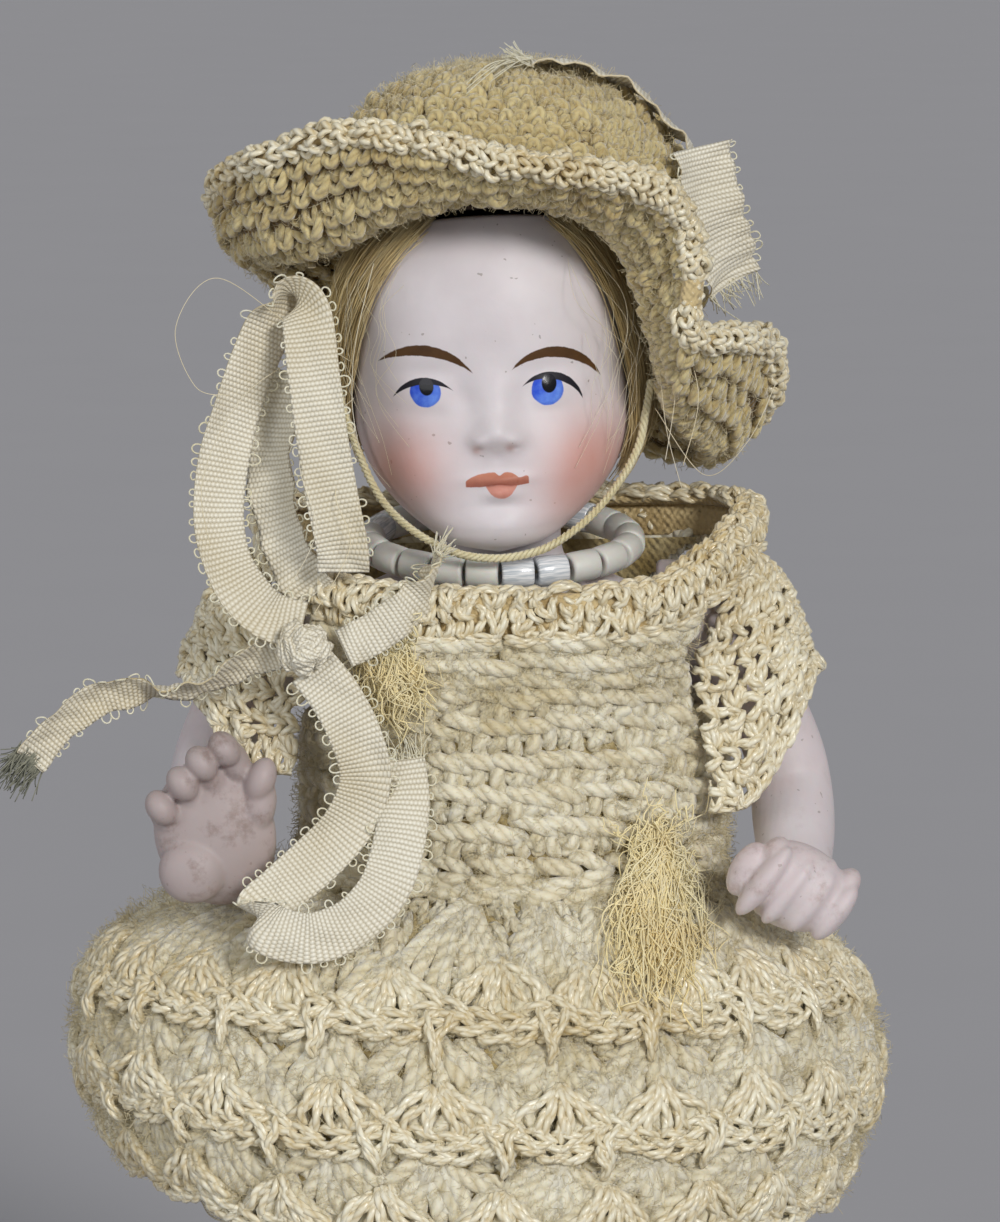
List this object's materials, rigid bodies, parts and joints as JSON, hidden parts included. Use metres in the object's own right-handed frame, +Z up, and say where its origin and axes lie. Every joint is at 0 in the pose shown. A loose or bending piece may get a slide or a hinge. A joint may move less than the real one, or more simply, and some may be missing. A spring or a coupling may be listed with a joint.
{
  "type": "jointed bisque doll",
  "caption": "Small all-bisque doll strung on wires at shoulders and hips, standing in a crocheted dress, brimmed hat, ribbon bow, bead necklace and net petticoat.",
  "frame": {"origin": "middle of the box at the soles", "axes": "+Z up, the face looks along -Y, the doll's own left is +X"},
  "size_m": [0.0737, 0.0548, 0.1354],
  "materials": {
    "bisque": "unglazed, tinted and fired, matt with a faint sheen",
    "wire": "dull drawn wire",
    "pate": "dark glued card",
    "linen": "plain weave, aged",
    "mohair": "blond strands with a soft shine",
    "wool": "thick matt cream yarn, crocheted",
    "silk": "lustrous fine thread, crocheted",
    "ribbon": "ribbed silk ribbon with picot loops",
    "floss": "loose gold silk floss",
    "glass_bead": "frosted tube bead",
    "satin_bead": "white satin glass",
    "net": "coarse open net, aged"
  },
  "bodies": {
    "body": {"head_and_torso": "bisque", "arm_wire": "wire", "leg_wire": "wire", "crown_pate": "pate", "wig_cap": "linen", "hair_left": "mohair", "hair_right": "mohair", "hair_back": "mohair", "hat": "wool", "hat_edging": "silk", "hat_ribbon_band": "ribbon", "hat_ribbon_fold": "ribbon", "chin_cord": "silk", "ribbon_bow_loop": "ribbon", "ribbon_inner_loop": "ribbon", "ribbon_crossing": "ribbon", "ribbon_long_tail": "ribbon", "ribbon_left_tail": "ribbon", "ribbon_knot": "ribbon", "necklace_thread": "linen", "bead_01": "satin_bead", "bead_02": "satin_bead", "bead_03": "glass_bead", "bead_04": "glass_bead", "bead_05": "glass_bead", "bead_06": "glass_bead", "bead_07": "glass_bead", "bead_08": "glass_bead", "bead_09": "satin_bead", "bead_10": "glass_bead", "bead_11": "glass_bead", "bead_12": "glass_bead", "bead_13": "glass_bead", "bead_14": "glass_bead", "bead_15": "glass_bead", "bead_16": "satin_bead", "bead_17": "glass_bead", "bead_18": "glass_bead", "bead_19": "glass_bead", "bead_20": "glass_bead", "bead_21": "glass_bead", "bead_22": "glass_bead", "dress_bodice": "wool", "dress_neck_edging": "silk", "skirt": "wool", "silk_band_upper": "silk", "silk_band_lower": "silk", "hem_edging": "silk", "petticoat": "net", "petticoat_waistband": "linen", "chest_tassel": "floss", "waist_tassel": "floss"},
    "left_arm_body": {"left_arm": "bisque", "left_sleeve": "silk"},
    "right_arm_body": {"right_arm": "bisque", "right_sleeve": "silk"},
    "left_leg_body": {"left_leg": "bisque"},
    "right_leg_body": {"right_leg": "bisque"}
  },
  "joints": [
    {"name": "left_shoulder", "type": "hinge", "parent": "body", "child": "left_arm_body", "pos_m": [0.0195, 0.0003, 0.088], "axis": [-1, 0, 0], "range_deg": [-8, 60]},
    {"name": "right_shoulder", "type": "hinge", "parent": "body", "child": "right_arm_body", "pos_m": [-0.0125, 0.0003, 0.088], "axis": [-1, 0, 0], "range_deg": [-5, 50]},
    {"name": "left_hip", "type": "hinge", "parent": "body", "child": "left_leg_body", "pos_m": [0.0135, 0.0003, 0.049], "axis": [-1, 0, 0], "range_deg": [-30, 40]},
    {"name": "right_hip", "type": "hinge", "parent": "body", "child": "right_leg_body", "pos_m": [-0.0065, 0.0003, 0.049], "axis": [-1, 0, 0], "range_deg": [-30, 40]}
  ]
}
